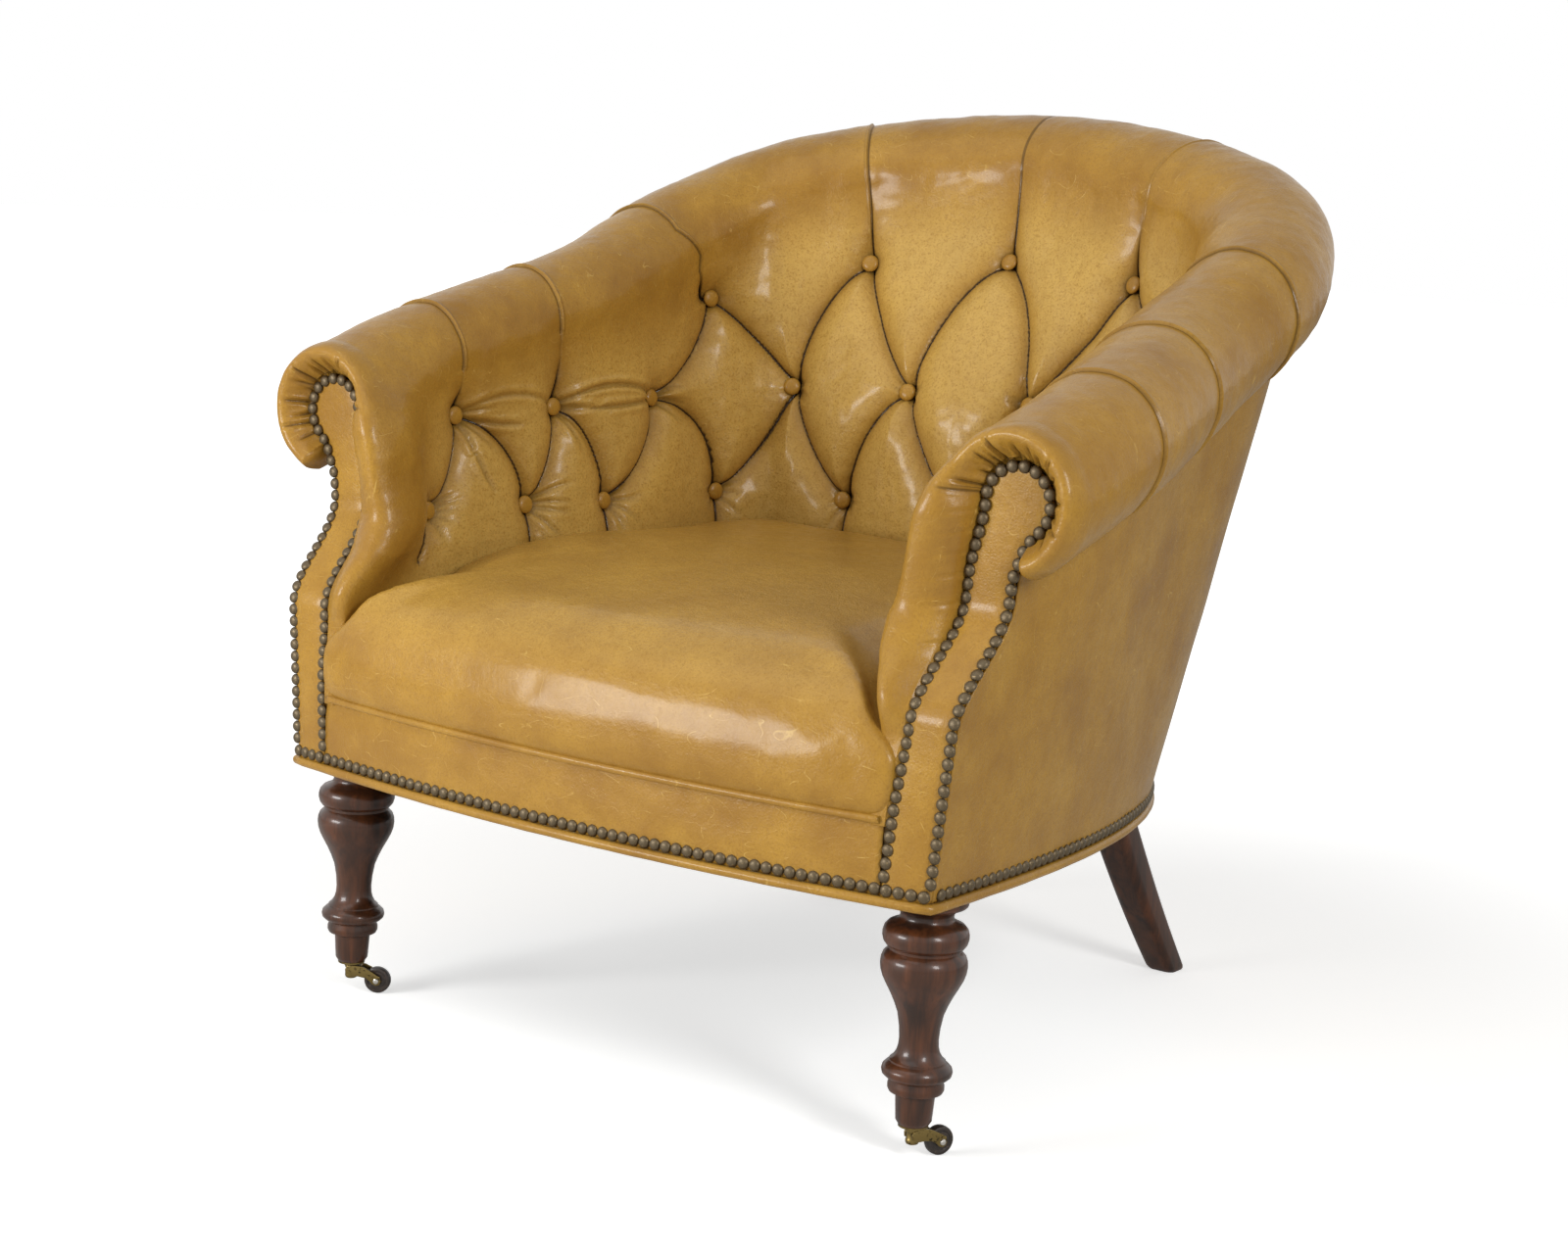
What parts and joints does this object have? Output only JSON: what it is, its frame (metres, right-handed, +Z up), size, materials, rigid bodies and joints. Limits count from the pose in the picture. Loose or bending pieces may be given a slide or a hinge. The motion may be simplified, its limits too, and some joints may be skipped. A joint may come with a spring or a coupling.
{
  "type": "accent chair",
  "caption": "Low barrel-backed accent chair with rolled arms, deep button tufting, nail-head trim, turned front legs on swivel casters and raked rear legs.",
  "frame": {"origin": "middle of the footprint of the whole chair, on the floor", "axes": "+X towards the sitter's left arm (right in a front view), +Y towards the back, +Z up"},
  "size_m": [0.8946, 0.8245, 0.8863],
  "materials": {
    "leather": "semi-gloss aniline-dyed cowhide, ochre",
    "welt_leather": "leather-covered cord",
    "button_leather": "leather-covered button",
    "frame_wood": "raw sawn hardwood",
    "webbing": "woven jute",
    "foam": "open-cell foam",
    "nail_bronze": "antique bronze, satin",
    "dust_cloth": "thin black cambric",
    "leg_wood": "dark walnut stain under satin lacquer",
    "bolt_steel": "zinc-plated",
    "caster_brass": "aged brass, satin",
    "axle_steel": "bright rivet",
    "caster_tyre": "hard dark rubber, a little polished"
  },
  "bodies": {
    "chair": {"seat_rail_front": "frame_wood", "seat_rail_left": "frame_wood", "seat_rail_right": "frame_wood", "seat_rail_back": "frame_wood", "corner_blocks": "frame_wood", "arm_post_left": "frame_wood", "arm_post_right": "frame_wood", "frame_uprights": "frame_wood", "top_rail": "frame_wood", "seat_webbing": "webbing", "seat_foam": "foam", "seat_cover": "leather", "seat_welt": "welt_leather", "front_rail_cover": "leather", "inside_back_cover": "leather", "tuft_buttons": "button_leather", "outside_cover": "leather", "arm_front_left": "leather", "arm_front_right": "leather", "arm_nails_left": "nail_bronze", "arm_nails_right": "nail_bronze", "front_nails": "nail_bronze", "side_nails": "nail_bronze", "bottom_welt": "welt_leather", "dust_cover": "dust_cloth", "front_leg_left": "leg_wood", "front_leg_right": "leg_wood", "rear_leg_left": "leg_wood", "rear_leg_right": "leg_wood", "leg_bolts": "bolt_steel", "caster_socket_left": "caster_brass", "caster_socket_right": "caster_brass"},
    "caster_left": {"caster_fork_left": "caster_brass", "caster_axle_left": "axle_steel"},
    "caster_right": {"caster_fork_right": "caster_brass", "caster_axle_right": "axle_steel"},
    "wheel_left": {"caster_wheel_left": "caster_tyre"},
    "wheel_right": {"caster_wheel_right": "caster_tyre"}
  },
  "joints": [
    {"name": "caster_swivel_left", "type": "hinge", "parent": "chair", "child": "caster_left", "pos_m": [-0.33, -0.32225, 0.029], "axis": [0, 0, 1], "continuous": true},
    {"name": "wheel_spin_left", "type": "hinge", "parent": "caster_left", "child": "wheel_left", "pos_m": [-0.30616, -0.30957, 0.013], "axis": [-0.4695, 0.8829, 0], "continuous": true},
    {"name": "caster_swivel_right", "type": "hinge", "parent": "chair", "child": "caster_right", "pos_m": [0.33, -0.32225, 0.029], "axis": [0, 0, 1], "continuous": true},
    {"name": "wheel_spin_right", "type": "hinge", "parent": "caster_right", "child": "wheel_right", "pos_m": [0.34098, -0.29758, 0.013], "axis": [-0.9135, 0.4067, 0], "continuous": true}
  ]
}
